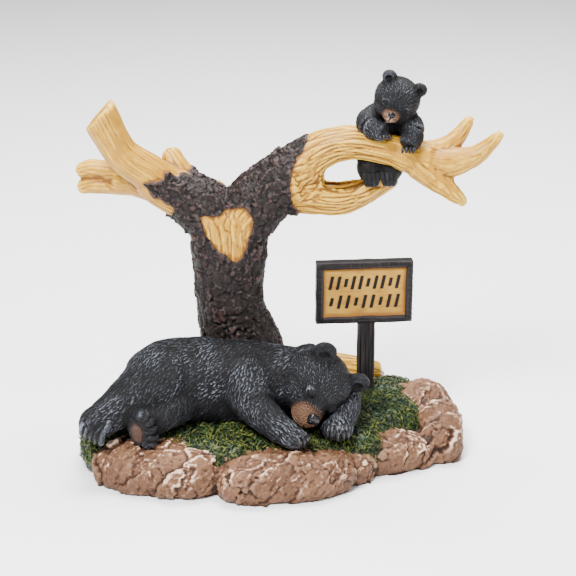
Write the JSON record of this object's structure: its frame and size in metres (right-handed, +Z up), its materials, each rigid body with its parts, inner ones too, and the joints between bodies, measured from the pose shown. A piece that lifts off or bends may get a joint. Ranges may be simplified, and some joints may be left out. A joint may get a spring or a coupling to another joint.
{
  "type": "bear statue",
  "caption": "Painted resin figurine of a black bear asleep on a grassy rock base, with a forked tree, a cub hanging over its branch and a sign.",
  "frame": {"origin": "on the flat underside, near the middle of the base", "axes": "+Z up, +X along the base from the bear's feet to its head, the figurine's front faces -Y"},
  "size_m": [0.2282, 0.1276, 0.2125],
  "materials": {
    "rock_and_grass": "hand-painted cast resin: dry-brushed brown rock and dark green grass with yellow tips",
    "bark_and_wood": "hand-painted cast resin: dark purple-brown bark and honey-coloured bare wood",
    "bear_fur": "hand-painted cast resin: satin black fur, dry-brushed grey, with a brown muzzle",
    "cub_fur": "hand-painted cast resin: satin black fur, dry-brushed grey, with a grey-brown muzzle",
    "sign_wood": "hand-painted cast resin: near-black frame and post, tan panel"
  },
  "bodies": {
    "root": {"base": "rock_and_grass", "tree": "bark_and_wood", "sleeping_bear": "bear_fur", "bear_cub": "cub_fur", "sign": "sign_wood"}
  },
  "joints": []
}
